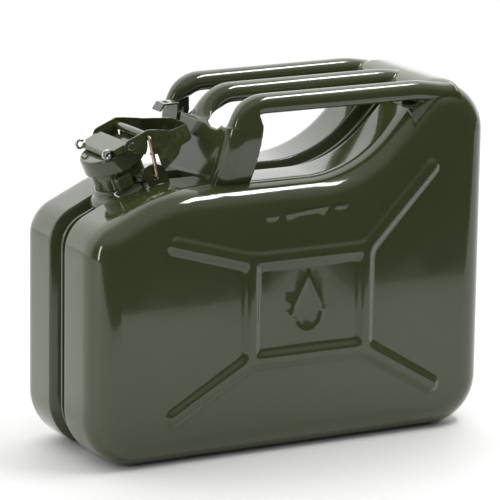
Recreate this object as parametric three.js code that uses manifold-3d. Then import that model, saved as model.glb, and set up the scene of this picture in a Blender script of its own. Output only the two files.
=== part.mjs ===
// Ten-litre pressed steel fuel can with a triple-bar handle and a cam-lever cap.
// Millimetres, +Z up. Origin: middle of the base. The spout is at -X, the handle's rear end at +X.
import * as THREE from 'three';
import { mergeVertices } from 'three/addons/utils/BufferGeometryUtils.js';
import Module from 'manifold-3d';

const wasm = await Module();
wasm.setup();

// ---------------------------------------------------------------- driving dimensions
const GAP = 0.3; // clearance between pieces that touch on the real can

const BODY = {
  length: 345, // over the narrow sides
  width: 130, // over the broad sides
  valley: 212, // height under the hand
  top: 276, // height of the hump behind the hand
  sheet: 1.0, // sheet thickness
  edge: 22, // rounding between the narrow and the broad sides
};
const HALF = BODY.length / 2;
const SIDE = BODY.width / 2;

const SEAM = {
  lip: 12.5, // half width of the recessed channel at its lips
  floor: 9.5, // half width of the channel's floor
  depth: 9, // depth of the floor
  flange: 4, // depth of the welded flange's free edge
  flangeThick: 1.2,
};

const RIB = {
  width: 15, // over the foot of its flanks
  crown: 8, // flat width on top
  height: 2.6,
  frame: { x0: -39.5, x1: 60.5, z0: 75, z1: 154 }, // centre line of the middle rectangle
  tips: [[-105, 173], [118, 213], [122, 38], [-105, 38]], // far ends of the four arms
};

// The closure is laid out in a frame on the neck's axis: p to the rear, y across, s up the axis.
const NECK = {
  tilt: 22, // degrees forward from vertical
  top: [-129, 237.4], // x and z of the middle of the cap's top
  radius: 20, // outside of the tube
  wall: 1.2,
  mouth: -4.5, // s of the mouth
  foot: -50, // s of the lower end, inside the can
  bead: 20.9, // outside radius of the curled mouth
};
const CAP = { radius: 24, height: 12.7, wall: 1.2, top: 1.4 };
const PIVOT = {
  bail: [17, -29], // where the bail's feet turn in the ears
  tube: [22.5, 3.5], // where the bail runs through the cross tube
  lever: [7, 2.8], // the rivets
  pin: [-10, 2.7], // the retaining pin in the bracket's rolled edge
};
const LEVER = { inside: 26, sheet: 1.2, bend: 41, tailHalf: 13.2, tail: 61 };
const BRACKET = { outside: 24.8, sheet: 1.2, roll: 2.5, bore: 1.6 };
const PIN = { radius: 1.2, eye: 3.1, eyeAt: 22.6, eyeOff: 2.2 };
const RIVET = { shank: 2.0, hole: 2.3, head: 3.8, high: 1.3 };
const WIRE = { radius: 1.5, legs: 29.2, slot: 1.9 };
const EAR = { inside: 24.3, sheet: 1.3, radius: 11, boss: 5.3, bossAt: [8, 20], bossTop: -21 };

const HANDLE = {
  plate: -57, // x of the front plate's outer face
  half: 61, // half width over the folded sides at the joint
  footHalf: 48, // half width at the foot
  lean: 7, // how far the foot stands in front of the joint
  depth: 23, // how far the folded sides run back
  corner: 14,
  sheet: 1.5,
  foot: 208,
  bar: 8.4, // bar radius
  flat: 6.4, // how far the flat underside lies below the bar's middle
  bend: 24, // middle radius of the front bend
  rear: 122, // where the bars come down on the hump
  outer: { front: 51, rear: 53, top: 280 },
  centre: { front: 0, rear: 0, top: 280 },
  end: { x: 136, sink: 5 }, // the bars' ends sink into the rear plate
  joint: 256, // height where the bars meet the front plate
  window: { inner: 9.5, outer: 44, bottom: 247, round: 12 },
  saddle: { from: 104, to: 147, half: 61.5 },
};

const TAB = { y0: 22.5, y1: 36, reach: 15, top: 262.5, leg: 238, lip: 6, sheet: 1.5, slot: 1.8 };

const COLOURS = {
  paint: 0x3a4028, wire: 0x9c6a4c, steel: 0x8d8f88, rubber: 0x1a1a18,
};

// ---------------------------------------------------------------- helpers
const rad = THREE.MathUtils.degToRad;

function material(kind) {
  const finish = {
    paint: { color: COLOURS.paint, roughness: 0.3, metalness: 0.0 },
    wire: { color: COLOURS.wire, roughness: 0.3, metalness: 1.0 },
    steel: { color: COLOURS.steel, roughness: 0.35, metalness: 1.0 },
    rubber: { color: COLOURS.rubber, roughness: 0.8, metalness: 0.0 },
  }[kind];
  return new THREE.MeshStandardMaterial(finish);
}

// A closed three.js geometry becomes a manifold solid.
function solid(geometry) {
  const bare = new THREE.BufferGeometry();
  bare.setAttribute('position', geometry.getAttribute('position').clone());
  if (geometry.index) bare.setIndex(geometry.index.clone());
  const merged = mergeVertices(bare, 1e-4);
  return new wasm.Manifold(new wasm.Mesh({
    numProp: 3,
    vertProperties: new Float32Array(merged.getAttribute('position').array),
    triVerts: new Uint32Array(merged.index.array),
  }));
}

function geometryOf(body) {
  const mesh = body.getMesh();
  const geometry = new THREE.BufferGeometry();
  const positions = new Float32Array(mesh.numVert * 3);
  for (let v = 0; v < mesh.numVert; v += 1) {
    for (let k = 0; k < 3; k += 1) positions[v * 3 + k] = mesh.vertProperties[v * mesh.numProp + k];
  }
  geometry.setAttribute('position', new THREE.BufferAttribute(positions, 3));
  geometry.setIndex(new THREE.BufferAttribute(new Uint32Array(mesh.triVerts), 1));
  return geometry;
}

// Outline points [a, b] extruded along the third direction between two values.
// along 'y': outline is [x, z]; along 'z': outline is [x, y]; along 'x': outline is [y, z].
function prism(points, from, to, along) {
  const shape = new THREE.Shape(points.map(([a, b]) => new THREE.Vector2(a, b)));
  const geometry = new THREE.ExtrudeGeometry(shape, { depth: to - from, bevelEnabled: false });
  if (along === 'y') {
    geometry.rotateX(Math.PI / 2);
    geometry.translate(0, to, 0);
  } else if (along === 'x') {
    geometry.rotateX(Math.PI / 2);
    geometry.rotateZ(Math.PI / 2);
    geometry.translate(from, 0, 0);
  } else {
    geometry.translate(0, 0, from);
  }
  return solid(geometry);
}

function rod(a, b, radius, sides = 20) {
  const start = new THREE.Vector3(...a);
  const end = new THREE.Vector3(...b);
  const axis = end.clone().sub(start);
  const geometry = new THREE.CylinderGeometry(radius, radius, axis.length(), sides);
  geometry.applyQuaternion(
    new THREE.Quaternion().setFromUnitVectors(new THREE.Vector3(0, 1, 0), axis.clone().normalize()));
  geometry.translate(...start.add(end).multiplyScalar(0.5).toArray());
  return solid(geometry);
}

// A turned body about the vertical axis: profile points are [radius, height].
function turned(profile, sides) {
  const points = profile.map(([r, h]) => new THREE.Vector2(r, h));
  const geometry = new THREE.LatheGeometry([...points, points[0].clone()], sides);
  geometry.rotateX(Math.PI / 2);
  return solid(geometry);
}

function arc(cx, cz, radius, from, to, steps) {
  return Array.from({ length: steps + 1 }, (_, i) => {
    const angle = rad(from + ((to - from) * i) / steps);
    return [cx + radius * Math.cos(angle), cz + radius * Math.sin(angle)];
  });
}

// Closed rings of equal length, joined side by side, with both ends capped.
function lofted(rings) {
  const count = rings[0].length;
  const flat = rings[0].map(([x, , z]) => new THREE.Vector2(x, z));
  const end = (rings.length - 1) * count;
  const ends = THREE.ShapeUtils.triangulateShape(flat, [])
    .flatMap(([a, b, c]) => [a, c, b, end + a, end + b, end + c]);
  return outward(rings, [...sides(rings), ...ends]);
}

// A solid from rings and triangle corners, turned inside out if it faces inwards.
function outward(rings, index) {
  const geometry = new THREE.BufferGeometry();
  geometry.setAttribute('position', new THREE.Float32BufferAttribute(rings.flat(2), 3));
  geometry.setIndex(index);
  const body = solid(geometry);
  return body.volume() < 0 ? solid(flipped(geometry)) : body;
}

// Triangle corners between each ring and the next.
function sides(rings) {
  const count = rings[0].length;
  const index = [];
  for (let r = 0; r + 1 < rings.length; r += 1) {
    for (let i = 0; i < count; i += 1) {
      const j = (i + 1) % count;
      const [a, b, c, d] = [r * count + i, r * count + j, (r + 1) * count + i, (r + 1) * count + j];
      index.push(a, b, d, a, d, c);
    }
  }
  return index;
}

function flipped(geometry) {
  const index = Array.from(geometry.index.array);
  for (let i = 0; i < index.length; i += 3) {
    [index[i + 1], index[i + 2]] = [index[i + 2], index[i + 1]];
  }
  geometry.setIndex(index);
  return geometry;
}

const root = new THREE.Group();
root.name = 'fuel_can';

function add(parent, name, kind, body) {
  const mesh = new THREE.Mesh(geometryOf(body), material(kind));
  mesh.name = name;
  parent.add(mesh);
}

// ---------------------------------------------------------------- body
// The narrow-side outline of the can, moved inwards by inset (outwards when negative).
function outline(inset) {
  const front = { r: 42, r2: 30 };
  const rear = { r: 40 };
  const rise = { r: 95, crest: 25 };
  const shoulder = { r: 100, slope: 25 };
  const crestX = HALF - rear.r;
  const diagonal = Math.SQRT1_2;
  // the 45-degree rise from the valley to the hump
  const crestFoot = [crestX - rise.crest * diagonal, BODY.top - rise.crest * (1 - diagonal)];
  const riseDrop = crestFoot[1] - BODY.valley - rise.r * (1 - diagonal);
  const riseX = crestFoot[0] - riseDrop - rise.r * diagonal;
  // the shoulder falls away from the valley to the front corner
  const shoulderX = -87;
  const slope = rad(shoulder.slope);
  const shoulderFoot = [
    shoulderX - shoulder.r * Math.sin(slope), BODY.valley - shoulder.r * (1 - Math.cos(slope))];
  const cornerX = -HALF + front.r2;
  const cornerTopX = cornerX - front.r2 * Math.sin(slope);
  const cornerZ = shoulderFoot[1] - (shoulderFoot[0] - cornerTopX) * Math.tan(slope)
    - front.r2 * Math.cos(slope);
  return [
    ...arc(HALF - rear.r, rear.r, rear.r - inset, -90, 0, 7),
    ...arc(crestX, BODY.top - rear.r, rear.r - inset, 0, 90, 7),
    ...arc(crestX, BODY.top - rise.crest, rise.crest - inset, 100, 135, 3),
    ...arc(riseX, BODY.valley + rise.r, rise.r + inset, -45, -90, 6),
    ...arc(shoulderX, BODY.valley - shoulder.r, shoulder.r - inset, 90, 90 + shoulder.slope, 4),
    ...arc(cornerX, cornerZ, front.r2 - inset, 90 + shoulder.slope, 180, 5),
    ...arc(-HALF + front.r, front.r, front.r - inset, 180, 270, 7),
  ];
}

const ring = (inset, y) => outline(inset).map(([x, z]) => [x, y, z]);

// Half of the can as a full solid: from the seam plane to the broad face.
function halfBlock(side, skin) {
  const start = skin > 0 ? -2 : GAP / 2;
  const flange = skin > 0 ? [] : [[SEAM.flange, start], [SEAM.flange, start + SEAM.flangeThick]];
  const roundings = [15, 35, 55, 75, 90].map((a) => [
    BODY.edge - (BODY.edge - skin) * Math.cos(rad(a)),
    SIDE - BODY.edge + (BODY.edge - skin) * Math.sin(rad(a))]);
  const section = [
    ...flange,
    [SEAM.depth + skin, skin > 0 ? start : start + SEAM.flangeThick],
    [SEAM.depth + skin, SEAM.floor + skin],
    [2 + skin, SEAM.lip - 0.8 + skin],
    [0.5 + skin, SEAM.lip + skin],
    [skin, SEAM.lip + 1.8 + skin],
    [skin, SIDE - BODY.edge],
    ...roundings,
  ];
  return lofted(section.map(([inset, y]) => ring(inset, side * y)));
}

// One pressed rib: a bar with sloping flanks between two points of the broad face.
function rib(from, to, side, skin) {
  const length = Math.hypot(to[0] - from[0], to[1] - from[1]);
  const angle = Math.atan2(to[1] - from[1], to[0] - from[0]);
  const [foot, crown] = [RIB.width / 2 - skin, RIB.crown / 2 - skin * 0.6];
  const under = 3;
  const face = SIDE - skin;
  const layers = [[foot, -under], [foot, 0], [crown, RIB.height]];
  const rings = layers.map(([half, lift]) => {
    const ends = [[length, -90, 90], [0, 90, 270]];
    return ends.flatMap(([at, a0, a1]) => arc(at, 0, half, a0, a1, 4)).map(([u, v]) => [
      from[0] + u * Math.cos(angle) - v * Math.sin(angle),
      side * (face + lift),
      from[1] + u * Math.sin(angle) + v * Math.cos(angle)]);
  });
  return lofted(rings);
}

function ribs(side, skin) {
  const { x0, x1, z0, z1 } = RIB.frame;
  const corners = [[x0, z1], [x1, z1], [x1, z0], [x0, z0]];
  const bars = corners.flatMap((corner, i) => [
    rib(corner, corners[(i + 1) % 4], side, skin),
    rib(corner, RIB.tips[i], side, skin)]);
  return wasm.Manifold.union(bars);
}

// Moves a solid from the closure's frame to the can's.
function fromNeck(body) {
  return body.rotate([0, -NECK.tilt, 0]).translate([NECK.top[0], 0, NECK.top[1]]);
}

function toNeck(body) {
  return body.translate([-NECK.top[0], 0, -NECK.top[1]]).rotate([0, NECK.tilt, 0]);
}

function shell(side) {
  const outer = halfBlock(side, 0).add(ribs(side, 0));
  const inner = halfBlock(side, BODY.sheet).add(ribs(side, BODY.sheet));
  const hole = fromNeck(rod([0, 0, NECK.foot - 10], [0, 0, 0], NECK.radius + GAP, 32));
  return outer.subtract(inner).subtract(hole);
}

add(root, 'left_shell', 'paint', shell(-1));
add(root, 'right_shell', 'paint', shell(1));

// The space the can's body fills, grown by clear; handle and neck pieces are trimmed with it.
function keepOut(clear) {
  const roundings = [90, 75, 55, 35, 15].map((a) => [
    BODY.edge - (BODY.edge + clear) * Math.cos(rad(a)),
    SIDE - BODY.edge + (BODY.edge + clear) * Math.sin(rad(a))]);
  const half = [...roundings, [-clear, SIDE - BODY.edge]];
  const section = [
    ...half.map(([inset, y]) => [inset, -y]), ...half.reverse().map(([inset, y]) => [inset, y])];
  return lofted(section.map(([inset, y]) => ring(inset, y)));
}
const bodySpace = keepOut(GAP);
const platedSpace = keepOut(GAP * 2 + HANDLE.sheet);

// ---------------------------------------------------------------- neck
const closure = new THREE.Group();
closure.position.set(NECK.top[0], 0, NECK.top[1]);
closure.rotation.y = -rad(NECK.tilt);
root.add(closure);
const bodyInNeck = toNeck(bodySpace);

function neckTube() {
  const { radius, wall, mouth, foot, bead } = NECK;
  return turned([
    [radius - wall, foot], [radius, foot], [radius, mouth - 3], [bead, mouth - 2],
    [bead, mouth - 0.6], [bead - 0.8, mouth], [radius - wall - 0.2, mouth],
    [radius - wall, mouth - 1]], 32);
}

function neckCollar() {
  const inside = NECK.radius + GAP;
  const flare = turned([
    [inside, -46], [27, -46], [26.5, -33.5], [24, -32.2], [22, -30], [21.5, -27.5],
    [inside, -27]], 32);
  return flare.subtract(bodyInNeck);
}

const neckSpace = rod([0, 0, NECK.foot], [0, 0, 0], NECK.radius + GAP, 32);
const collarSpace = rod([0, 0, NECK.foot], [0, 0, -26.7], 27.3, 32);

function stopLug(side) {
  const block = prism([[-12, -26.4], [0, -26.4], [0, -18], [-1.5, -16.5], [-10.5, -16.5], [-12, -18]],
    Math.min(side * 14, side * 23.6), Math.max(side * 14, side * 23.6), 'y');
  return block.subtract(neckSpace);
}

function hingeEar(side) {
  const { inside, sheet, radius, boss, bossAt, bossTop } = EAR;
  const [kp, ks] = PIVOT.bail;
  const span = [side * inside, side * (inside + sheet)].sort((a, b) => a - b);
  const dome = arc(kp - 1, ks, radius, 0, 180, 10);
  const low = ks - 14;
  const plate = prism([...dome, [kp - radius, low], [kp + radius - 1, low]], ...span, 'y');
  const [bossP, bossY] = [bossAt[0], side * bossAt[1]];
  const half = rod([bossP, bossY, low], [bossP, bossY, bossTop], boss, 16);
  const eye = rod([kp, -40, ks], [kp, 40, ks], WIRE.radius + GAP, 16);
  const body = plate.add(half).subtract(neckSpace).subtract(collarSpace).subtract(bodyInNeck);
  return body.subtract(eye);
}

add(closure, 'neck_tube', 'paint', neckTube());
add(closure, 'neck_collar', 'paint', neckCollar());
for (const [name, side] of [['left', -1], ['right', 1]]) {
  add(closure, `neck_stop_lug_${name}`, 'paint', stopLug(side));
  add(closure, `neck_hinge_ear_${name}`, 'paint', hingeEar(side));
}

// The breather lets air in while the can pours: a thin tube along the neck's wall, into the can.
function breatherTube() {
  const at = NECK.radius - NECK.wall - 4.2;
  const route = new THREE.CatmullRomCurve3([
    [at, 0, -9], [at, 0, -30], [at, 0, -50], [at + 8, 0, -62], [at + 26, 0, -70], [at + 50, 0, -76],
  ].map((p) => new THREE.Vector3(...p)));
  const [outside, bore] = [3.2, 2.4].map(
    (r) => arc(0, 0, r, 0, 315, 7).map(([x, y]) => new THREE.Vector2(x, y)));
  const circle = new THREE.Shape(outside);
  circle.holes.push(new THREE.Path(bore));
  const along = { extrudePath: route, steps: 16, bevelEnabled: false };
  return solid(new THREE.ExtrudeGeometry(circle, along));
}
add(closure, 'breather_tube', 'steel', breatherTube());

// ---------------------------------------------------------------- cap and its bracket
function cap() {
  const { radius, height, wall, top } = CAP;
  const inner = radius - wall;
  return turned([
    [0, 0], [0, -top], [inner, -top], [inner, -height], [radius, -height], [radius, -1.6],
    [radius - 0.5, -0.5], [radius - 1.6, 0]], 36);
}

function capGasket() {
  const upper = -CAP.top - GAP;
  const lower = NECK.mouth + GAP;
  return turned([[15, lower], [22.2, lower], [22.2, upper], [15, upper]], 32);
}

function capBracket() {
  const { outside, sheet, roll, bore } = BRACKET;
  const [rp, rs] = PIVOT.pin;
  const [qp, qs] = PIVOT.tube;
  const base = GAP;
  const top = 6.4;
  const bendP = 6.5;
  const front = -6.5;
  const shoulder = outside - 4.3;
  const cheek = [
    [front, base], [qp + 3.6, base], [qp + 4.2, qs], [qp + 1, top + 0.8], [bendP, top],
    [front, rs + 2]];
  const across = [
    [rp, rs + roll - sheet], [bendP, top - sheet], [bendP + 1, top - sheet / 2], [bendP, top],
    [rp, rs + roll]];
  const between = prism([[-40, -5], [40, -5], [40, 20], [-40, 20]],
    sheet - outside, outside - sheet, 'y');
  const block = prism(cheek, -outside, outside, 'y').subtract(between);
  const plate = prism(across, sheet - outside - 0.5, outside - sheet + 0.5, 'y');
  const rolled = rod([rp, -shoulder, rs], [rp, shoulder, rs], roll, 16);
  const corners = [-1, 1].map((side) => prism([[rp - 4, -1], [front, -1], [front, 9], [rp - 4, 9]],
    ...[side * shoulder, side * (outside + 1)].sort((a, b) => a - b), 'y'));
  const holes = [
    ...corners, bored([rp, rs], bore), bored([qp, qs], WIRE.radius + GAP),
    bored(PIVOT.lever, RIVET.hole)];
  return wasm.Manifold.union([block, plate, rolled]).subtract(wasm.Manifold.union(holes));
}

// A hole of that radius right across the closure at (p, s).
function bored([p, s], radius) {
  return rod([p, -40, s], [p, 40, s], radius, 12);
}

function crossTube() {
  const [qp, qs] = PIVOT.tube;
  const reach = BRACKET.outside - BRACKET.sheet - GAP;
  return rod([qp, -reach, qs], [qp, reach, qs], 3.1, 16)
    .subtract(bored(PIVOT.tube, WIRE.radius + GAP));
}

// The retaining pin: a straight rod with an eye bent at each end.
function retainingPin() {
  const [rp, rs] = PIVOT.pin;
  const { radius, eye, eyeOff } = PIN;
  const eyes = [-1, 1].map((side) => {
    const geometry = new THREE.TorusGeometry(eye, radius - 0.1, 6, 14);
    geometry.rotateX(Math.PI / 2);
    geometry.translate(rp - eyeOff, side * PIN.eyeAt, rs + eyeOff);
    return solid(geometry);
  });
  const reach = PIN.eyeAt;
  return wasm.Manifold.union([rod([rp, -reach, rs], [rp, reach, rs], radius, 10), ...eyes]);
}

add(closure, 'cap', 'paint', cap());
add(closure, 'cap_gasket', 'rubber', capGasket());
add(closure, 'cap_bracket', 'paint', capBracket());
add(closure, 'cross_tube', 'paint', crossTube());
add(closure, 'retaining_pin', 'steel', retainingPin());

// ---------------------------------------------------------------- lever, rivets and bail
function lever() {
  const { inside, sheet, bend, tailHalf, tail } = LEVER;
  const [pp, ps] = PIVOT.lever;
  const plan = (grow) => [
    [-40, -(inside + grow)], [bend, -(inside + grow)],
    [tail - 3 + grow * 0.6, -(tailHalf + 1 + grow)], [tail + grow, -(tailHalf - 3)],
    [tail + grow, tailHalf - 3], [tail - 3 + grow * 0.6, tailHalf + 1 + grow],
    [bend, inside + grow], [-40, inside + grow]];
  const hollow = plan(0).map(([p, y]) => [p < 0 ? p - 5 : p, y]);
  const band = prism(plan(sheet), -40, 40, 'z').subtract(prism(hollow, -41, 41, 'z'));
  const side = [
    ...arc(pp, ps, 5.8, 90, 270, 8), [19, -10], [25.2, -12.5], [24.8, -27], [37.5, -22.4], [47, -17.2],
    [tail + 2, -20.5], [tail + 2, -8], [43, -1.2], [30, 6], [24, 8.8]];
  const reach = Math.hypot(PIVOT.tube[0] - pp, PIVOT.tube[1] - ps);
  const slot = prism([
    ...arc(pp, ps, reach + WIRE.slot, 8, -62, 10), ...arc(pp, ps, reach - WIRE.slot, -62, 8, 10)],
  -40, 40, 'y');
  return band.intersect(prism(side, -40, 40, 'y')).subtract(slot)
    .subtract(bored(PIVOT.lever, RIVET.hole));
}

function rivet(side) {
  const [pp, ps] = PIVOT.lever;
  const outer = LEVER.inside + LEVER.sheet + GAP;
  const inner = BRACKET.outside - BRACKET.sheet - 1.1;
  const shank = rod([pp, side * inner, ps], [pp, side * (outer + 1), ps], RIVET.shank, 12);
  const head = rod([pp, side * outer, ps], [pp, side * (outer + RIVET.high), ps], RIVET.head, 16);
  return shank.add(head);
}

// The direction square to the plane that the bent wire lies in.
const wirePlane = new THREE.Vector3(
  PIVOT.bail[0] - PIVOT.tube[0], 0, PIVOT.bail[1] - PIVOT.tube[1])
  .cross(new THREE.Vector3(0, 1, 0)).normalize();

function wireBail() {
  const [qp, qs] = PIVOT.tube;
  const [kp, ks] = PIVOT.bail;
  const { radius, legs } = WIRE;
  const corner = 3;
  const foot = EAR.inside - 1.6;
  const down = new THREE.Vector3(kp - qp, 0, ks - qs).normalize();
  const points = [];
  const at = (p, y, s) => points.push(new THREE.Vector3(p, y, s));
  const bendAt = (p, s, side, along, from, to) => {
    for (let i = 0; i <= 4; i += 1) {
      const a = rad(from + ((to - from) * i) / 4);
      const run = corner * (1 - Math.cos(a)) * along;
      at(p + down.x * run, side * (legs - corner + corner * Math.sin(a)), s + down.z * run);
    }
  };
  at(kp, -foot, ks);
  bendAt(kp, ks, -1, -1, 0, 90);
  bendAt(qp, qs, -1, 1, 90, 0);
  bendAt(qp, qs, 1, 1, 0, 90);
  bendAt(kp, ks, 1, -1, 90, 0);
  at(kp, foot, ks);
  return sweptWire(points, radius, 10);
}

// A round wire through the given points, mitred at each of them.
function sweptWire(points, radius, facets) {
  const rings = points.map((point, i) => {
    const before = points[Math.max(i - 1, 0)];
    const after = points[Math.min(i + 1, points.length - 1)];
    const tangent = after.clone().sub(before).normalize();
    const level = new THREE.Vector3().crossVectors(tangent, wirePlane).normalize();
    return Array.from({ length: facets }, (_, k) => {
      const a = (k / facets) * Math.PI * 2;
      return point.clone().addScaledVector(level, radius * Math.cos(a))
        .addScaledVector(wirePlane, radius * Math.sin(a)).toArray();
    });
  });
  return sweptSolid(rings);
}
// Rings in any position, joined in order, each end closed by a fan.
function sweptSolid(rings) {
  const count = rings[0].length;
  const index = sides(rings);
  const end = (rings.length - 1) * count;
  for (let i = 1; i + 1 < count; i += 1) index.push(0, i + 1, i, end, end + i, end + i + 1);
  return outward(rings, index);
}

add(closure, 'lever', 'paint', lever());
add(closure, 'lever_rivet_left', 'steel', rivet(-1));
add(closure, 'lever_rivet_right', 'steel', rivet(1));
add(closure, 'wire_bail', 'wire', wireBail());

// ---------------------------------------------------------------- handle
// The front plate: one sheet folded back at both sides, with a window below each pair of bars.
function frontPlate() {
  const { plate, half, footHalf, lean, depth, corner, sheet, foot, joint } = HANDLE;
  const loop = (inset) => {
    const r = corner - inset;
    const x = plate + corner;
    return [
      [plate + depth + 6, -(half - inset)], ...arc(x, -(half - corner), r, -90, -180, 5),
      ...arc(x, half - corner, r, 180, 90, 5), [plate + depth + 6, half - inset]];
  };
  const narrowing = (1 - footHalf / half) / (joint - foot);
  const straight = prism([...loop(0), ...loop(sheet).reverse()], foot - 10, joint, 'z');
  const folded = straight.warp((v) => {
    const drop = joint - v[2];
    v[0] -= (drop * lean) / (joint - foot);
    v[1] *= 1 - drop * narrowing;
  });
  const taper = prism([
    [plate - 20, foot - 20], [plate + depth - 8, foot - 20], [plate + depth + 3, joint + 1],
    [plate - 20, joint + 1]], -70, 70, 'y');
  const windows = [-1, 1].map((side) => windowBlock(side, plate - 5, plate + corner - 1));
  return folded.intersect(taper).subtract(wasm.Manifold.union(windows)).subtract(bodySpace);
}

// The round-bottomed window between the middle bar and an outer bar.
function windowBlock(side, from, to) {
  const { window: w, joint } = HANDLE;
  const level = w.bottom + w.round;
  const shape = [
    [w.inner, joint + 5], ...arc(w.inner + w.round, level, w.round, 180, 270, 5),
    ...arc(w.outer - w.round, level, w.round, 270, 360, 5), [w.outer, joint + 5]];
  return prism(shape.map(([y, z]) => [side * y, z]), from, to, 'x');
}

// A round-topped, flat-bottomed bar from the front plate to the hump.
function handleBar({ front, rear, top }, side) {
  const { plate, bar, flat, bend, rear: rearX, joint, end } = HANDLE;
  const middle = top - bar;
  const base = Math.asin(flat / bar);
  const section = Array.from({ length: 15 }, (_, i) => {
    const a = -base + (i / 14) * (Math.PI + 2 * base);
    return [bar * Math.cos(a), bar * Math.sin(a)];
  });
  const riseX = plate + bar;
  const stations = [
    [riseX, joint - 14, 0],
    ...arc(riseX + bend, middle - bend, bend, 180, 90, 8).map(([x, z], i) => [x, z, (i / 8) * 90]),
    [rearX, middle, 90],
    [end.x, middle - end.sink, 90]];
  const rings = stations.map(([x, z, turn]) => {
    const t = (x - riseX) / (rearX - riseX);
    const y = side * (front + (rear - front) * t);
    const [c, n] = [Math.cos(rad(turn)), Math.sin(rad(turn))];
    return section.map(([across, up]) => [x - up * c, y + across, z + up * n]);
  });
  const cut = joint + GAP;
  const below = prism([[-200, cut - 40], [0, cut - 40], [0, cut], [-200, cut]], -80, 80, 'y');
  return sweptSolid(rings).subtract(below).subtract(platedSpace);
}

// The rear plate lies on the hump under the ends of the three bars.
function rearPlate() {
  const { from, to, half } = HANDLE.saddle;
  const window = prism([[from, 230], [to, 230], [to, 290], [from, 290]], -half, half, 'y');
  return keepOut(GAP + HANDLE.sheet).subtract(bodySpace).intersect(window);
}

// The locking tab takes a padlock or a wire seal through its slotted hole.
function lockingTab() {
  const { plate, lean, joint, foot } = HANDLE;
  const { y0, y1, reach, top, leg, lip, sheet, slot } = TAB;
  const back = plate - GAP;
  const legBack = back - (lean * (joint - leg)) / (joint - foot);
  const front = back - reach;
  const side = [
    [legBack, leg], [back, joint], [back, top], [front + 2, top], [front - 2, top - lip],
    [front - 2 + sheet, top - lip], [front + 2 + sheet * 0.6, top - sheet], [back - sheet, top - sheet],
    [back - sheet, joint], [legBack - sheet, leg]];
  const holeX = front + 6.5;
  const hole = [...arc(holeX, y0 + 5, slot, 180, 360, 6), ...arc(holeX, y1 - 5, slot, 0, 180, 6)];
  return prism(side, y0, y1, 'y').subtract(prism(hole, top - 5, top + 5, 'z'));
}

add(root, 'handle_front_plate', 'paint', frontPlate());
add(root, 'handle_rear_plate', 'paint', rearPlate());
add(root, 'handle_bar_left', 'paint', handleBar(HANDLE.outer, -1));
add(root, 'handle_bar_centre', 'paint', handleBar(HANDLE.centre, 1));
add(root, 'handle_bar_right', 'paint', handleBar(HANDLE.outer, 1));
add(root, 'locking_tab', 'paint', lockingTab());

export default root;
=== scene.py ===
"""Looks of the ten-litre fuel can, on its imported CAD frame. Shapes are laid out in millimetres in the
CAD's frame (+Z up, spout at -X) and turned into metres when a piece is made."""
import math

import bmesh
import bpy
from mathutils import Matrix, Vector
from mathutils.geometry import delaunay_2d_cdt


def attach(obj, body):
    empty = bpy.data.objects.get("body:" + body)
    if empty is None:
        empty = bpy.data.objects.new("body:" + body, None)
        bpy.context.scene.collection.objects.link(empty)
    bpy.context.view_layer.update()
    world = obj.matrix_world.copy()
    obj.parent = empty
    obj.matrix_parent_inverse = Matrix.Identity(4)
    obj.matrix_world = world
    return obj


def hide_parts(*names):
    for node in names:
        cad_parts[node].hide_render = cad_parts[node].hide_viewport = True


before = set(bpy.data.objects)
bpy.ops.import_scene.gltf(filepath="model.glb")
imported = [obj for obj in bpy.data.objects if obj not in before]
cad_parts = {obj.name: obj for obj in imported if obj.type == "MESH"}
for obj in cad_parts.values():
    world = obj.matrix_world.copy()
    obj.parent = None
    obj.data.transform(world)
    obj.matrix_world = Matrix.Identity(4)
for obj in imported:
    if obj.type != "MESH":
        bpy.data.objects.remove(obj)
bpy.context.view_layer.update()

MM = 0.001
HALF = 172.5  # half length of the can
SIDE = 65  # half width over the broad faces
EDGE = 22  # rounding between the narrow and the broad sides
VALLEY = 212  # height under the hand
TOP = 276  # height of the hump
RIB_HEIGHT, RIB_FOOT, RIB_CROWN = 2.6, 7.9, 2.8  # height, half widths at the foot and on top
RIB_FRAME = [(-39.5, 154), (60.5, 154), (60.5, 75), (-39.5, 75)]
RIB_TIPS = [(-105, 173), (118, 213), (122, 38), (-105, 38)]
TILT = math.radians(22)
CAP_TOP = Vector((-129, 0, 237.4))
BAIL, TUBE, LEVER, PIN = (17, -29), (22.5, 3.5), (7, 2.8), (-10, 2.7)  # closure axes, (p, s)
NECK_R = 20
PLATE_X, JOINT_Z, FOOT_Z, LEAN = -57, 256, 208, 7
PLATE_HALF, PLATE_FOOT_HALF, PLATE_CORNER, SHEET = 61, 48, 14, 1.5
GUSSET_X = -28  # rear edge of the plate's folded sides, at the joint
SHOULDER_Z = 272  # where the plate's folded sides run into the outer bars
WINDOW_IN, WINDOW_OUT, WINDOW_LOW, WINDOW_ROUND = 19, 47, 253, 12
SADDLE_FRONT, SADDLE_REAR, SADDLE_HALF = 97, 147, 61.5  # rear sheet on the hump
HUMP_R, HUMP_INNER_R = 40, 25  # rounding of the hump, behind and towards the hand
BAR_R, BAR_FLAT, BAR_BEND, BAR_REAR, BAR_END = 8.4, 6.4, 24, 118, 142
MORPH_Z, MORPH_RUN = 246, 26  # where the flat strip of the plate starts to turn into a bar, and how long
BARS = ((-1, 51, 53, 280), (0, 0, 0, 280), (1, 51, 53, 280))  # side, front |y|, rear |y|, top
to_can = Matrix.Translation(CAP_TOP) @ Matrix.Rotation(-TILT, 4, "Y")


# ------------------------------------------------------------------ small helpers
def smooth(t):
    t = min(max(t, 0.0), 1.0)
    return t * t * (3 - 2 * t)


def arc(cx, cy, radius, start, end, steps):
    angles = [math.radians(start + (end - start) * i / steps) for i in range(steps + 1)]
    return [(cx + radius * math.cos(a), cy + radius * math.sin(a)) for a in angles]


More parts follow.
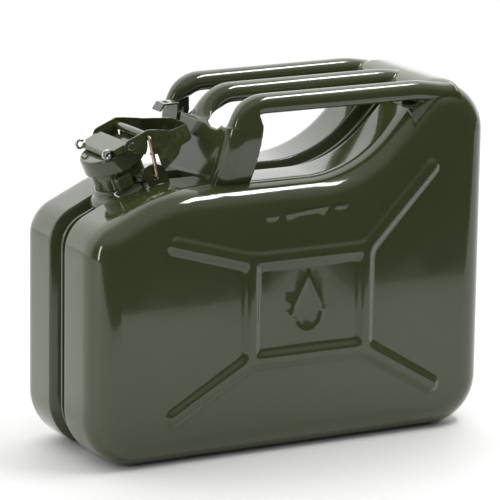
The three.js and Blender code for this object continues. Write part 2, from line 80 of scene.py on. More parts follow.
def rounded(points, radius, steps=4, closed=True):
    """The polyline with each corner replaced by a curve that starts radius before it."""
    out = []
    count = len(points)
    for i, point in enumerate(points):
        if not closed and i in (0, count - 1):
            out.append(tuple(point))
            continue
        here = Vector(point)
        before, after = Vector(points[i - 1]) - here, Vector(points[(i + 1) % count]) - here
        cut = min(radius, before.length * 0.49, after.length * 0.49)
        a, b = here + before.normalized() * cut, here + after.normalized() * cut
        for k in range(steps + 1):
            t = k / steps
            out.append(tuple(a * (1 - t) ** 2 + here * 2 * t * (1 - t) + b * t * t))
    return out


def piece(name, points, faces, look, body, stands_for=(), place=None, sharp=35):
    """A new mesh piece from points in millimetres."""
    mesh = bpy.data.meshes.new(name)
    if place:
        points = [place @ Vector(p) for p in points]
    mesh.from_pydata([Vector(p) * MM for p in points], [], faces)
    obj = bpy.data.objects.new(name, mesh)
    bpy.context.scene.collection.objects.link(obj)
    work = bmesh.new()
    work.from_mesh(mesh)
    bmesh.ops.remove_doubles(work, verts=work.verts, dist=0.00002)
    bmesh.ops.recalc_face_normals(work, faces=work.faces)
    work.to_mesh(mesh)
    work.free()
    return settle(obj, look, body, stands_for, sharp)


def settle(obj, look, body, stands_for=(), sharp=35):
    """Finish, shading and body of a new piece, and hides the CAD parts it stands for."""
    obj.data.materials.clear()
    obj.data.materials.append(look)
    if obj.type == "MESH":
        obj.data.shade_smooth()
        obj.data.set_sharp_from_angle(angle=math.radians(sharp))
    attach(obj, body)
    if stands_for:
        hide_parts(*stands_for)
    return obj


def bevelled(obj, width=0.35, segments=2, angle=35):
    """Softens the piece's sharp edges."""
    bevel = obj.modifiers.new("edges", "BEVEL")
    bevel.width = width * MM
    bevel.segments = segments
    bevel.limit_method = "ANGLE"
    bevel.angle_limit = math.radians(angle)
    bevel.harden_normals = True
    return obj


def rings_faces(rings, count, close=False):
    """Quads between neighbouring rings of count points; close joins the last ring to the first."""
    faces = []
    for r in range(rings if close else rings - 1):
        n = (r + 1) % rings
        for i in range(count):
            j = (i + 1) % count
            faces.append((r * count + i, r * count + j, n * count + j, n * count + i))
    return faces


def lathe(name, profile, look, body, stands_for, sides=72, sharp=40):
    """A closed turned piece about the neck's axis. Profile points are (radius, height)."""
    points, count = [], len(profile)
    for k in range(sides):
        a = 2 * math.pi * k / sides
        points += [(r * math.cos(a), r * math.sin(a), h) for r, h in profile]
    faces = rings_faces(sides, count, close=True)
    return piece(name, points, faces, look, body, stands_for, to_can, sharp)


def tube(name, path, radius, look, body, stands_for, sides=16):
    """A round wire through path (millimetres, in the can's frame)."""
    path = [Vector(p) for p in path]
    points, count = [], len(path)
    side = None
    for i, here in enumerate(path):
        before, after = path[max(i - 1, 0)], path[min(i + 1, count - 1)]
        along = (after - before).normalized()
        if side is None:
            side = along.orthogonal().normalized()
        side = (side - along * side.dot(along)).normalized()
        other = along.cross(side)
        for k in range(sides):
            a = 2 * math.pi * k / sides
            points.append(here + side * radius * math.cos(a) + other * radius * math.sin(a))
    faces = rings_faces(count, sides)
    faces += [tuple(range(sides))[::-1], tuple((count - 1) * sides + k for k in range(sides))]
    return piece(name, points, faces, look, body, stands_for, None, 50)


def bend_path(corners, radius, steps=6):
    return rounded([tuple(c) for c in corners], radius, steps, closed=False)


def dressed(node, look, body, width=0.35):
    """A softened copy of a CAD node: its flat faces merged and its edges rounded."""
    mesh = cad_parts[node].data.copy()
    obj = bpy.data.objects.new(node + "_pressed", mesh)
    bpy.context.scene.collection.objects.link(obj)
    work = bmesh.new()
    work.from_mesh(mesh)
    bmesh.ops.remove_doubles(work, verts=work.verts, dist=0.000002)
    bmesh.ops.dissolve_limit(work, angle_limit=math.radians(1.5), verts=work.verts, edges=work.edges)
    work.to_mesh(mesh)
    work.free()
    settle(obj, look, body, (node,))
    return bevelled(obj, width)


# ------------------------------------------------------------------ finishes
def new_look(name, rough, metal=0.0, colour=(0.5, 0.5, 0.5)):
    look = bpy.data.materials.new(name)
    look.use_nodes = True
    shader = look.node_tree.nodes["Principled BSDF"]
    shader.inputs["Base Color"].default_value = (*colour, 1)
    shader.inputs["Roughness"].default_value = rough
    shader.inputs["Metallic"].default_value = metal
    return look, shader


def node(look, kind, **values):
    made = look.node_tree.nodes.new(kind)
    for key, value in values.items():
        if key in made.inputs:
            made.inputs[key].default_value = value
        else:
            setattr(made, key, value)
    return made


def link(look, a, b):
    look.node_tree.links.new(a, b)


def noise(look, scale, detail=3.0, rough=0.5):
    """Noise over the object's own coordinates; scale is in cycles per metre."""
    where = node(look, "ShaderNodeTexCoord")
    made = node(look, "ShaderNodeTexNoise", Scale=scale, Detail=detail, Roughness=rough)
    link(look, where.outputs["Object"], made.inputs["Vector"])
    return made.outputs["Fac"]


def ramp(look, source, stops):
    made = node(look, "ShaderNodeValToRGB")
    while len(made.color_ramp.elements) < len(stops):
        made.color_ramp.elements.new(0.5)
    for element, (at, colour) in zip(made.color_ramp.elements, stops):
        element.position = at
        element.color = (*colour, 1)
    link(look, source, made.inputs["Fac"])
    return made.outputs["Color"]


def mixed(look, factor, a, b):
    """Colour a where factor is 0 and b where it is 1; each is a socket or a colour."""
    made = node(look, "ShaderNodeMix", data_type="RGBA")
    link(look, factor, made.inputs[0])
    for at, value in ((6, a), (7, b)):
        if isinstance(value, tuple):
            made.inputs[at].default_value = (*value, 1)
        else:
            link(look, value, made.inputs[at])
    return made.outputs[2]


def spread(look, source, low, high, lo=0.35, hi=0.65):
    """source between lo and hi becomes low to high."""
    made = node(look, "ShaderNodeMapRange")
    for at, value in ((1, lo), (2, hi), (3, low), (4, high)):
        made.inputs[at].default_value = value
    link(look, source, made.inputs[0])
    return made.outputs[0]


def bumps(look, shader, *layers):
    """Stacked bumps: each layer is (source, height in metres)."""
    normal = None
    for source, height in layers:
        made = node(look, "ShaderNodeBump", Strength=1.0, Distance=height)
        link(look, source, made.inputs["Height"])
        if normal:
            link(look, normal, made.inputs["Normal"])
        normal = made.outputs["Normal"]
    link(look, normal, shader.inputs["Normal"])


def worn(look, low, high):
    """1 along outer edges, from the mesh's own curvature, broken up by noise."""
    shape = node(look, "ShaderNodeNewGeometry")
    edge = spread(look, shape.outputs["Pointiness"], 0.0, 1.0, low, high)
    patch = spread(look, noise(look, 140, 4), 0.0, 1.0, 0.5, 0.72)
    both = node(look, "ShaderNodeMath", operation="MULTIPLY")
    link(look, edge, both.inputs[0])
    link(look, patch, both.inputs[1])
    return both.outputs[0]


def enamel(name, deep, light, dents=0.00035):
    """Thick glossy stove enamel over pressed steel."""
    look, shader = new_look(name, 0.1)
    tone = ramp(look, noise(look, 9, 3), [(0.3, deep), (0.7, light)])
    thin = tuple(min(1, c * 1.9 + 0.01) for c in light)
    tone = mixed(look, worn(look, 0.52, 0.6), tone, thin)
    dust = spread(look, noise(look, 700, 2, 0.6), 0.0, 0.1, 0.62, 0.8)
    tone = mixed(look, dust, tone, (0.16, 0.17, 0.13))
    link(look, tone, shader.inputs["Base Color"])
    link(look, spread(look, noise(look, 24, 4), 0.07, 0.15), shader.inputs["Roughness"])
    shader.inputs["IOR"].default_value = 1.5
    shader.inputs["Coat Weight"].default_value = 0.35
    shader.inputs["Coat Roughness"].default_value = 0.04
    bumps(look, shader, (noise(look, 11, 1.5), dents), (noise(look, 420, 2), 0.000012))
    return look


OLIVE_DEEP, OLIVE_LIGHT = (0.037, 0.049, 0.0165), (0.044, 0.058, 0.020)
paint = enamel("olive_enamel", OLIVE_DEEP, OLIVE_LIGHT)
small_paint = enamel("olive_enamel_fittings", OLIVE_DEEP, OLIVE_LIGHT, 0.00012)

copper, copper_shader = new_look("coppered_wire", 0.22, 1.0)
copper_tone = ramp(copper, noise(copper, 180, 4), [(0.3, (0.34, 0.20, 0.13)), (0.7, (0.66, 0.47, 0.37))])
link(copper, copper_tone, copper_shader.inputs["Base Color"])
link(copper, spread(copper, noise(copper, 420, 3), 0.16, 0.36), copper_shader.inputs["Roughness"])
bumps(copper, copper_shader, (noise(copper, 900, 3), 0.00002))

steel, steel_shader = new_look("zinc_plated_steel", 0.25, 1.0)
steel_tone = ramp(steel, noise(steel, 260, 4), [(0.3, (0.36, 0.37, 0.36)), (0.7, (0.62, 0.62, 0.6))])
link(steel, steel_tone, steel_shader.inputs["Base Color"])
link(steel, spread(steel, noise(steel, 500, 3), 0.18, 0.42), steel_shader.inputs["Roughness"])
bumps(steel, steel_shader, (noise(steel, 1200, 3), 0.000015))

rubber, rubber_shader = new_look("black_seal_rubber", 0.6)
rubber_stops = [(0.3, (0.011, 0.011, 0.011)), (0.7, (0.024, 0.023, 0.021))]
rubber_tone = ramp(rubber, noise(rubber, 300, 4), rubber_stops)
link(rubber, rubber_tone, rubber_shader.inputs["Base Color"])
link(rubber, spread(rubber, noise(rubber, 600, 3), 0.5, 0.75), rubber_shader.inputs["Roughness"])
bumps(rubber, rubber_shader, (noise(rubber, 1500, 3), 0.00003))


# ------------------------------------------------------------------ body shells
def outline(inset):
    """The can's outline seen from the broad side, moved inwards by inset."""
    slope = math.radians(25)
    crest_x, half_root = HALF - 40, math.sqrt(0.5)
    crest_foot = (crest_x - 25 * half_root, TOP - 25 * (1 - half_root))
    drop = crest_foot[1] - VALLEY - 95 * (1 - half_root)
    rise_x = crest_foot[0] - drop - 95 * half_root
    foot = (-87 - 100 * math.sin(slope), VALLEY - 100 * (1 - math.cos(slope)))
    corner_x = -HALF + 30
    reach = foot[0] - (corner_x - 30 * math.sin(slope))
    corner_z = foot[1] - reach * math.tan(slope) - 30 * math.cos(slope)
    return (
        arc(HALF - 40, 40, 40 - inset, -90, 0, 20)
        + arc(crest_x, TOP - 40, 40 - inset, 0, 90, 20)
        + arc(crest_x, TOP - 25, 25 - inset, 100, 135, 9)
        + arc(rise_x, VALLEY + 95, 95 + inset, -45, -90, 18)
        + arc(-87, VALLEY - 100, 100 - inset, 90, 115, 12)
        + arc(corner_x, corner_z, 30 - inset, 115, 180, 14)
        + arc(-HALF + 42, 42, 42 - inset, 180, 270, 20)
    )


def to_segment(x, z, a, b):
    """Distance from (x, z) to the segment a-b."""
    dx, dz = b[0] - a[0], b[1] - a[1]
    t = ((x - a[0]) * dx + (z - a[1]) * dz) / (dx * dx + dz * dz)
    t = min(max(t, 0.0), 1.0)
    return math.hypot(x - a[0] - t * dx, z - a[1] - t * dz)


RIBS = [(RIB_FRAME[i], RIB_FRAME[(i + 1) % 4]) for i in range(4)]
RIBS += [(RIB_FRAME[i], RIB_TIPS[i]) for i in range(4)]
DROP = [(10, 137), (4.5, 126.5), (-0.5, 117), (-3.2, 108), (-0.8, 99.5), (5, 94.8), (10, 93.5)]
DROP += [(20 - x, z) for x, z in DROP[-2:0:-1]]
MARKS = [(DROP[i], DROP[(i + 1) % len(DROP)]) for i in range(len(DROP))]
MARKS += [((-26, 187), (-19, 187)), ((34, 190), (41, 190)), ((-9, 188), (24, 189.5))]


def rib_distance(x, z):
    """Distance to the nearest rib's middle line, blended where ribs meet."""
    soft = 1.1
    total = sum(math.exp(-to_segment(x, z, a, b) / soft) for a, b in RIBS)
    return -soft * math.log(total) if total > 0 else 99.0


def face_height(x, z):
    """How far the broad face stands out at (x, z)."""
    d = rib_distance(x, z)
    height = RIB_HEIGHT * smooth((RIB_FOOT + 0.4 - d) / (RIB_FOOT - RIB_CROWN + 0.8))
    across = 1 - ((x - 10.5) / 42.5) ** 2
    up = 1 - ((z - 114.5) / 32) ** 2
    dish = -0.55 * max(across, 0) * max(up, 0)
    mark = min(to_segment(x, z, a, b) for a, b in MARKS)
    return height + dish + 0.5 * smooth((3.0 - mark) / 2.0)


def broad_face(side):
    """Points and triangles of one broad face, fine over the ribs and marks."""
    border = outline(EDGE)
    ring = []
    for i, here in enumerate(border):
        there = border[(i + 1) % len(border)]
        gap = math.dist(here, there)
        steps = max(1, round(gap / 9))
        ring += [(here[0] + (there[0] - here[0]) * k / steps,
                  here[1] + (there[1] - here[1]) * k / steps) for k in range(steps)]
    inside = []
    step = 1.25
    for i in range(int(320 / step)):
        for j in range(int(280 / step)):
            x, z = -160 + (i + 0.5 * (j % 2)) * step, j * step
            near = min(to_segment(x, z, a, b) for a, b in RIBS)
            marked = min(to_segment(x, z, a, b) for a, b in MARKS)
            coarse = i % 7 == 0 and j % 6 == 0
            if not (near < 10.5 or marked < 4.2 or coarse):
                continue
            if clearance(x, z, border) > 1.5:
                inside.append((x, z))
    edges = [(i, (i + 1) % len(ring)) for i in range(len(ring))]
    points, _, faces, *_ = delaunay_2d_cdt([Vector(p) for p in ring + inside], edges, [], 1, 0.001)
    return [(x, side * (SIDE + face_height(x, z)), z) for x, z in points], [tuple(f) for f in faces]


def clearance(x, z, border):
    """Distance from the border to a point inside it; negative outside."""
    crossings, nearest = 0, 1e9
    for i, a in enumerate(border):
        b = border[(i + 1) % len(border)]
        nearest = min(nearest, to_segment(x, z, a, b))
        if (a[1] > z) != (b[1] > z) and x < a[0] + (z - a[1]) / (b[1] - a[1]) * (b[0] - a[0]):
            crossings += 1
    return nearest if crossings % 2 else -nearest


def shell(name, side):
    """One pressed half: flange, channel, narrow side, rounded edge and broad face."""
    channel = [(4, 0.15), (4, 1.35), (9, 1.35), (9, 9.5), (2, 11.7), (0, 12.7), (0, 16)]
    section = [(9, 0.15)] + rounded(channel, 1.0, 4, False)
    section += [(EDGE - EDGE * math.cos(a), SIDE - EDGE + EDGE * math.sin(a))
                for a in (math.pi / 2 * k / 12 for k in range(13))]
    rings = []
    for inset, y in section:
        ring = []
        border = outline(inset)
        for i, here in enumerate(border):
            there = border[(i + 1) % len(border)]
            ring.append((here[0], side * y, here[1]))
            if math.dist(here, there) > 30:
                ring += [(here[0] + (there[0] - here[0]) * k / 4, side * y,
                          here[1] + (there[1] - here[1]) * k / 4) for k in (1, 2, 3)]
        rings.append(ring)
    count = min(len(r) for r in rings)
    points = [p for r in rings for p in r]
    faces = rings_faces(len(rings), count)
    face_points, face_faces = broad_face(side)
    base = len(points)
    points += face_points
    faces += [tuple(base + v for v in f) for f in face_faces]
    obj = piece(name, points, faces, paint, "can", (name.replace("_pressing", ""),), sharp=50)
    cut_neck_hole(obj)
    return obj


def cut_neck_hole(obj):
    """Opens the pressing inside the neck tube."""
    work = bmesh.new()
    work.from_mesh(obj.data)
    to_neck = to_can.inverted()
    radius = NECK_R - 0.5

    def near(face):
        p = to_neck @ (face.calc_center_median() / MM)
        return p.z > -75 and math.hypot(p.x, p.y) < 75

    for k in range(20):
        a = 2 * math.pi * (k + 0.5) / 20
        out = (to_can.to_3x3() @ Vector((math.cos(a), math.sin(a), 0))).normalized()
        at = (CAP_TOP + out * radius * math.cos(math.pi / 20)) * MM
        faces = [f for f in work.faces if near(f)]
        corners = list({v for f in faces for v in f.verts})
        geometry = corners + list({e for f in faces for e in f.edges}) + faces
        bmesh.ops.bisect_plane(work, geom=geometry, plane_co=at, plane_no=out, dist=1e-7)
    inner = []
    for face in work.faces:
        p = to_neck @ (face.calc_center_median() / MM)
        if p.z > -75 and math.hypot(p.x, p.y) < radius * 0.995:
            inner.append(face)
    bmesh.ops.delete(work, geom=inner, context="FACES")
    work.to_mesh(obj.data)
    work.free()
    obj.data.shade_smooth()
    obj.data.set_sharp_from_angle(angle=math.radians(50))


for side_name, side_sign in (("left", -1), ("right", 1)):
    shell(side_name + "_shell_pressing", side_sign)

# ------------------------------------------------------------------ neck
lathe("neck_tube_rolled", rounded([
    (18.8, -50), (20, -50), (20, -8.2), (20.9, -6.8), (20.9, -5.0), (20.2, -4.5), (19.2, -4.5),
    (18.8, -5.2)], 0.5, 4), small_paint, "can", ("neck_tube",))
lathe("neck_collar_flared", rounded([
    (20.3, -47), (30, -47), (29.2, -36.5), (26.6, -33.6), (24.2, -32.6), (22.6, -30.4), (21.6, -27.6),
    (20.3, -27)], 1.2, 5), small_paint, "can", ("neck_collar",))
for side_name in ("left", "right"):
    dressed("neck_stop_lug_" + side_name, small_paint, "can", 0.8)
    dressed("neck_hinge_ear_" + side_name, small_paint, "can", 0.4)

# ------------------------------------------------------------------ cap, bracket, pin and tube
lathe("cap_turned", rounded([
    (0.01, 0), (0.01, -1.4), (22.8, -1.4), (22.8, -12.7), (24, -12.7), (24, -1.2), (22.8, 0)], 0.9, 6),
    small_paint, "cap_assembly", ("cap",))
lathe("cap_gasket_ring", rounded([(15, -4.2), (22.2, -4.2), (22.2, -1.7), (15, -1.7)], 0.6, 4),
      rubber, "cap_assembly", ("cap_gasket",))
dressed("cap_bracket", small_paint, "cap_assembly", 0.3)
CROSS_HALF = 23.3


def across_tube(name, at, outer, inner, half, look, body, stands_for):
    """A tube lying across the can, with rounded rims."""
    profile = rounded([(outer, -half), (outer, half), (inner, half), (inner, -half)], 0.35, 3)
    sides, points = 40, []
    for k in range(sides):
        a = 2 * math.pi * k / sides
        points += [(at[0] + r * math.cos(a), y, at[1] + r * math.sin(a)) for r, y in profile]
    faces = rings_faces(sides, len(profile), close=True)
    return piece(name, points, faces, look, body, stands_for, to_can, 40)


across_tube("cross_tube_rolled", TUBE, 3.1, 1.8, CROSS_HALF, small_paint, "cap_assembly", ("cross_tube",))


def ring_path(centre, radius, y, start, end, steps=22):
    return [to_can @ Vector((x, y, s)) for x, s in arc(*centre, radius, start, end, steps)]


PIN_EYE = (PIN[0] - 2.2, PIN[1] + 2.2)
pin_path = ring_path(PIN_EYE, 3.1, -22.6, 20, 315)
pin_path += [to_can @ Vector((PIN[0], y, PIN[1])) for y in (-20, 0, 20)]
pin_path += ring_path(PIN_EYE, 3.1, 22.6, 315, 20)
tube("retaining_pin_bent", pin_path, 1.15, steel, "cap_assembly", ("retaining_pin",), 12)

breather = [(14.6, 0, -9), (14.6, 0, -50), (22.8, 0, -62), (41, 0, -70), (65, 0, -76)]
tube("breather_tube_bent", [to_can @ Vector(p) for p in bend_path(breather, 12, 8)], 3.1, steel, "can",
     ("breather_tube",), 20)

# ------------------------------------------------------------------ lever, rivets and bail
dressed("lever", small_paint, "cam_lever", 0.3)
for side_name, side_sign in (("left", -1), ("right", 1)):
    rivet = [(0.01, 22.2), (2.0, 22.2), (2.0, 27.4), (3.9, 27.4), (3.7, 28.3), (2.4, 29.0), (0.01, 29.2)]
    profile = rounded(rivet, 0.4, 3)
    rivet_points, rivet_sides = [], 32
    for step in range(rivet_sides):
        turn = 2 * math.pi * step / rivet_sides
        rivet_points += [(LEVER[0] + r * math.cos(turn), side_sign * y, LEVER[1] + r * math.sin(turn))
                         for r, y in profile]
    piece("lever_rivet_head_" + side_name, rivet_points, rings_faces(rivet_sides, len(profile), True),
          small_paint, "cap_assembly", ("lever_rivet_" + side_name,), to_can, 45)

bail_corners = [(BAIL[0], -22.7, BAIL[1]), (BAIL[0], -29.2, BAIL[1]), (TUBE[0], -29.2, TUBE[1]),
                (TUBE[0], 29.2, TUBE[1]), (BAIL[0], 29.2, BAIL[1]), (BAIL[0], 22.7, BAIL[1])]
bail_path = [to_can @ Vector(p) for p in bend_path(bail_corners, 3.2, 8)]
tube("wire_bail_bent", bail_path, 1.5, copper, "bail", ("wire_bail",), 18)


# ------------------------------------------------------------------ handle
def resampled(line, count):
    """count points evenly spaced along the polyline."""
    lengths = [0.0]
    for a, b in zip(line, line[1:]):
        lengths.append(lengths[-1] + math.dist(a, b))
    out, k = [], 0
    for i in range(count):
        at = lengths[-1] * i / (count - 1)
        while k < len(line) - 2 and lengths[k + 1] < at:
            k += 1
        t = (at - lengths[k]) / max(lengths[k + 1] - lengths[k], 1e-9)
        out.append((line[k][0] + (line[k + 1][0] - line[k][0]) * t,
                    line[k][1] + (line[k + 1][1] - line[k][1]) * t))
    return out


BAR_POINTS = 22


def bar_section(side, amount):
    """The bar's ring as (across, up): from the flat strip of the plate at 0 to the rounded bar at 1."""
    base = math.degrees(math.asin(BAR_FLAT / BAR_R))
    bar_out = arc(0, 0, BAR_R, 180 + base, -base, BAR_POINTS - 1)
    chord = BAR_R * math.cos(math.radians(base))
    bar_in = [(chord - 2 * chord * k / (BAR_POINTS - 1), -BAR_FLAT) for k in range(BAR_POINTS)]
    if side == 0:
        strip_out = [(-WINDOW_IN, BAR_R), (WINDOW_IN, BAR_R)]
        strip_in = [(WINDOW_IN, BAR_R - SHEET), (-WINDOW_IN, BAR_R - SHEET)]
    else:
        turn = PLATE_HALF - PLATE_CORNER - BARS[2][1]
        deep = BAR_R - PLATE_CORNER
        strip_out = [(-7, BAR_R)] + arc(turn, deep, PLATE_CORNER, 90, 0, 10)
        strip_out.append((turn + PLATE_CORNER, deep - 2))
        strip_in = ([(turn + PLATE_CORNER - SHEET, deep - 2)]
                    + arc(turn, deep, PLATE_CORNER - SHEET, 0, 90, 10) + [(-7, BAR_R - SHEET)])
    strip = resampled(strip_out, BAR_POINTS) + resampled(strip_in, BAR_POINTS)
    ring = [(a[0] * (1 - amount) + b[0] * amount, a[1] * (1 - amount) + b[1] * amount)
            for a, b in zip(strip, bar_out + bar_in)]
    return [(across * (side or 1), up) for across, up in ring]


def bar_rings(side, front, rear, top):
    middle, rise_x = top - BAR_R, PLATE_X + BAR_R
    bend_z = middle - BAR_BEND
    stations = [(rise_x, z, 0.0, smooth((z - MORPH_Z) / MORPH_RUN)) for z in (243, 246)]
    for i, (x, z) in enumerate(arc(rise_x + BAR_BEND, bend_z, BAR_BEND, 180, 90, 18)):
        along = bend_z + i * 2.09  # millimetres round the bend, 5 degrees at a time
        stations.append((x, z, 5.0 * i, smooth((along - MORPH_Z) / MORPH_RUN)))
    stations += [(x, middle, 90.0, 1.0) for x in (0, 30, 60, 90)]
    for k in range(7):
        x = BAR_REAR - 14 + (BAR_END - BAR_REAR + 14) * k / 6
        stations.append((x, middle - 4.5 * smooth((x - BAR_REAR + 14) / 38), 90.0, 1.0))
    rings = []
    for x, z, turn, amount in stations:
        y = side * (front + (rear - front) * (x - rise_x) / (BAR_REAR - rise_x))
        c, n = math.cos(math.radians(turn)), math.sin(math.radians(turn))
        section = bar_section(side, amount)
        rings.append([leaned(x - up * c, y + across, z + up * n) for across, up in section])
    return rings


def leaned(x, y, z):
    """The point moved with the front plate, which narrows and leans forward towards its foot."""
    share = max(JOINT_Z - z, 0) / (JOINT_Z - FOOT_Z)
    forward = LEAN * share * min(max((GUSSET_X - x) / 26, 0), 1)
    return (x - forward, y * (1 - share ** 1.7 * (1 - PLATE_FOOT_HALF / PLATE_HALF)), z)


def add_solid(work, rings):
    """A closed lofted solid, capped at both ends."""
    count = len(rings[0])
    verts = [work.verts.new(Vector(p) * MM) for ring in rings for p in ring]
    for face in rings_faces(len(rings), count):
        work.faces.new([verts[v] for v in face])
    half = count // 2
    for start in (0, (len(rings) - 1) * count):
        for k in range(half - 1):
            a, b = start + k, start + k + 1
            work.faces.new([verts[a], verts[b], verts[start + count - 2 - k], verts[start + count - 1 - k]])


def plate_solid(work):
    """The folded front sheet with its two windows, as columns of quads with a thickness."""
    run = 30
    corner = PLATE_HALF - PLATE_CORNER
    line = [(PLATE_X + PLATE_CORNER + run, -PLATE_HALF)]
    line += arc(PLATE_X + PLATE_CORNER, -corner, PLATE_CORNER, -90, -180, 10)
    line += [(PLATE_X, -44 + 88 * k / 80) for k in range(81)]
    line += arc(PLATE_X + PLATE_CORNER, corner, PLATE_CORNER, 180, 90, 10)
    line.append((PLATE_X + PLATE_CORNER + run, PLATE_HALF))
    side_steps = 8
    first, last = line[0], line[-1]
    start = [(first[0] + (line[1][0] - first[0]) * k / side_steps, first[1]) for k in range(side_steps)]
    end = [(line[-2][0] + (last[0] - line[-2][0]) * (k + 1) / side_steps, last[1])
           for k in range(side_steps)]
    line = start + line[1:-1] + end
    rows, bottom = 18, FOOT_Z - 6
    grid = []
    for i, (x, y) in enumerate(line):
        before, after = line[max(i - 1, 0)], line[min(i + 1, len(line) - 1)]
        tangent = Vector((after[0] - before[0], after[1] - before[1])).normalized()
        inward = Vector((-tangent.y, tangent.x))
        if inward.x * (x + 20) + inward.y * y > 0:
            inward = -inward
        top = plate_top(x, y)
        column = []
        for layer in (0, SHEET):
            for k in range(rows + 1):
                z = bottom + (top - bottom) * k / rows
                drop = max(JOINT_Z - z, 0)
                over = max(z - JOINT_Z, 0)
                px, py = x + inward.x * layer, y + inward.y * layer
                px = min(px + over * 0.35, GUSSET_X - drop * 0.09 - over * 0.35)
                py -= math.copysign(over * 0.1, py)
                column.append(leaned(px, py, z))
        grid.append(column[: rows + 1] + column[rows + 1 :][::-1])
    add_solid(work, grid)


def saddle_solid(work):
    """The rear sheet on the hump, scooped out between the bars."""
    rows = 14
    grid = []
    for i in range(-40, 41):
        y = SADDLE_HALF * i / 40
        past = abs(y) - BARS[2][2]
        scoop = 17 * smooth(min(abs(past), abs(y)) / 17.6) + 22 * smooth(past / 8)
        front = SADDLE_FRONT + scoop
        fall = max(abs(y) - (SIDE - EDGE), 0)
        column = []
        for layer in (SHEET + 0.7, -0.6):
            reach = EDGE + layer
            low = reach - math.sqrt(reach ** 2 - fall ** 2)
            for k in range(rows + 1):
                x = front + (SADDLE_REAR - front) * k / rows
                column.append((x, y, hump_top(x) + layer - low))
        grid.append(column[: rows + 1] + column[rows + 1 :][::-1])
    add_solid(work, grid)


def hump_top(x):
    """Height of the can's upper outline at x, from the hand's side of the hump to its rear."""
    crest = HALF - HUMP_R
    if x > crest:
        return TOP - HUMP_R + math.sqrt(HUMP_R ** 2 - (x - crest) ** 2)
    if x > crest - 4.34:
        return TOP
    return TOP - HUMP_INNER_R + math.sqrt(max(HUMP_INNER_R ** 2 - (crest - x) ** 2, 130))


def plate_top(x, y):
    """Height of the sheet's upper edge: the joint with the bars, or the bottom of a window."""
    at = abs(y)
    if at <= WINDOW_IN:
        return JOINT_Z
    if at >= WINDOW_OUT:
        return JOINT_Z + (SHOULDER_Z - JOINT_Z) * smooth((x + 47) / 8)
    into = min(at - WINDOW_IN, WINDOW_OUT - at, WINDOW_ROUND)
    return WINDOW_LOW + WINDOW_ROUND - math.sqrt(WINDOW_ROUND ** 2 - (WINDOW_ROUND - into) ** 2)


def pressed_handle():
    """Front plate, rear sheet and three bars as one welded pressing."""
    work = bmesh.new()
    for bar in BARS:
        add_solid(work, bar_rings(*bar))
    plate_solid(work)
    saddle_solid(work)
    bmesh.ops.recalc_face_normals(work, faces=work.faces)
    mesh = bpy.data.meshes.new("handle_pressing")
    work.to_mesh(mesh)
    work.free()
    obj = bpy.data.objects.new("handle_pressing", mesh)
    bpy.context.scene.collection.objects.link(obj)
    remesh = obj.modifiers.new("weld", "REMESH")
    remesh.mode = "VOXEL"
    remesh.voxel_size = 0.0008
    soften = obj.modifiers.new("soften", "SMOOTH")
    soften.factor = 0.5
    soften.iterations = 8
    thin = obj.modifiers.new("thin", "DECIMATE")
    thin.ratio = 0.35
    bake_modifiers(obj)
    settle(obj, paint, "can",
           ("handle_front_plate", "handle_bar_left", "handle_bar_centre", "handle_bar_right"), 55)


def bake_modifiers(obj):
    """Replaces the mesh by what its modifiers make of it."""
    evaluated = obj.evaluated_get(bpy.context.evaluated_depsgraph_get())
    mesh = bpy.data.meshes.new_from_object(evaluated)
    obj.modifiers.clear()
    obj.data = mesh


pressed_handle()
dressed("handle_rear_plate", paint, "can", 0.5)
dressed("locking_tab", small_paint, "can", 0.35)

# ------------------------------------------------------------------ stage, light and camera
floor_look = new_look("studio_floor", 0.6, 0.0, (0.86, 0.86, 0.85))[0]
floor_mesh = bpy.data.meshes.new("studio_floor")
FLOOR_FRONT, FLOOR_FAR = -0.5, 6.0  # metres; the paint mirrors where the floor ends in front
floor_corners = [(-FLOOR_FAR, FLOOR_FRONT, 0), (FLOOR_FAR, FLOOR_FRONT, 0),
                 (FLOOR_FAR, FLOOR_FAR, 0), (-FLOOR_FAR, FLOOR_FAR, 0)]
floor_mesh.from_pydata(floor_corners, [], [(0, 1, 2, 3)])
floor_mesh.materials.append(floor_look)
floor = bpy.data.objects.new("studio_floor", floor_mesh)
bpy.context.scene.collection.objects.link(floor)

scene = bpy.context.scene
scene.view_settings.view_transform = "Standard"


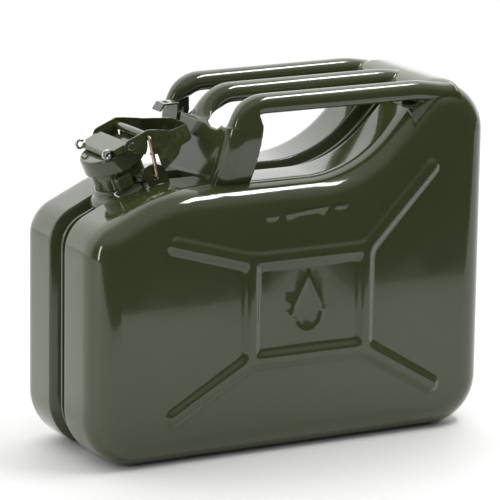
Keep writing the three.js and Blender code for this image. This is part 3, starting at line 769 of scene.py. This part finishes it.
def studio_world():
    """A bright backdrop behind the can, a dim room in front, pale overhead; white where it is seen."""
    world = bpy.data.worlds.new("studio")
    world.use_nodes = True
    scene.world = world
    where = node(world, "ShaderNodeTexCoord")
    parts = node(world, "ShaderNodeSeparateXYZ")
    link(world, where.outputs["Generated"], parts.inputs[0])
    behind = spread(world, parts.outputs["Y"], 0.1, 1.5, 0.0, 0.35)
    above = spread(world, parts.outputs["Z"], 0.0, 0.6, 0.35, 0.75)
    total = node(world, "ShaderNodeMath", operation="ADD")
    link(world, behind, total.inputs[0])
    link(world, above, total.inputs[1])
    room = world.node_tree.nodes["Background"]
    room.inputs["Color"].default_value = (1, 1, 1, 1)
    link(world, total.outputs[0], room.inputs["Strength"])
    shown = node(world, "ShaderNodeBackground", Strength=1.0)
    shown.inputs["Color"].default_value = (1, 1, 1, 1)
    seen = node(world, "ShaderNodeLightPath")
    choose = node(world, "ShaderNodeMixShader")
    link(world, seen.outputs["Is Camera Ray"], choose.inputs[0])
    link(world, room.outputs[0], choose.inputs[1])
    link(world, shown.outputs[0], choose.inputs[2])
    link(world, choose.outputs[0], world.node_tree.nodes["World Output"].inputs["Surface"])


def softbox(name, place, aim, size, power):
    light = bpy.data.lights.new(name, "AREA")
    light.shape = "RECTANGLE"
    light.size, light.size_y = size
    light.energy = power
    obj = bpy.data.objects.new(name, light)
    obj.location = place
    obj.rotation_euler = (Vector(aim) - Vector(place)).to_track_quat("-Z", "Y").to_euler()
    scene.collection.objects.link(obj)


studio_world()
softbox("softbox_top", (0.55, -0.3, 1.3), (0, 0, 0.2), (0.75, 0.16), 9)
softbox("softbox_left", (-1.4, -0.6, 0.5), (0, 0, 0.15), (0.12, 0.9), 4)

camera_data = bpy.data.cameras.new("camera")
camera_data.sensor_width = 36
camera_data.lens = 273.27
camera_data.clip_end = 50
camera = bpy.data.objects.new("camera", camera_data)
azimuth, rise, roll = math.radians(28.953), math.radians(13.266), math.radians(0.807)
back = Vector((-math.sin(azimuth) * math.cos(rise), -math.cos(azimuth) * math.cos(rise), math.sin(rise)))
right = (-back).cross(Vector((0, 0, 1))).normalized()
upward = right.cross(-back)
turned_right = right * math.cos(roll) + upward * math.sin(roll)
turned_up = upward * math.cos(roll) - right * math.sin(roll)
pose = Matrix((turned_right, turned_up, back)).transposed().to_4x4()
pose.translation = Vector((-0.005588, 0, 0.145326)) + back * 2.95507
camera.matrix_world = pose
scene.collection.objects.link(camera)
scene.camera = camera
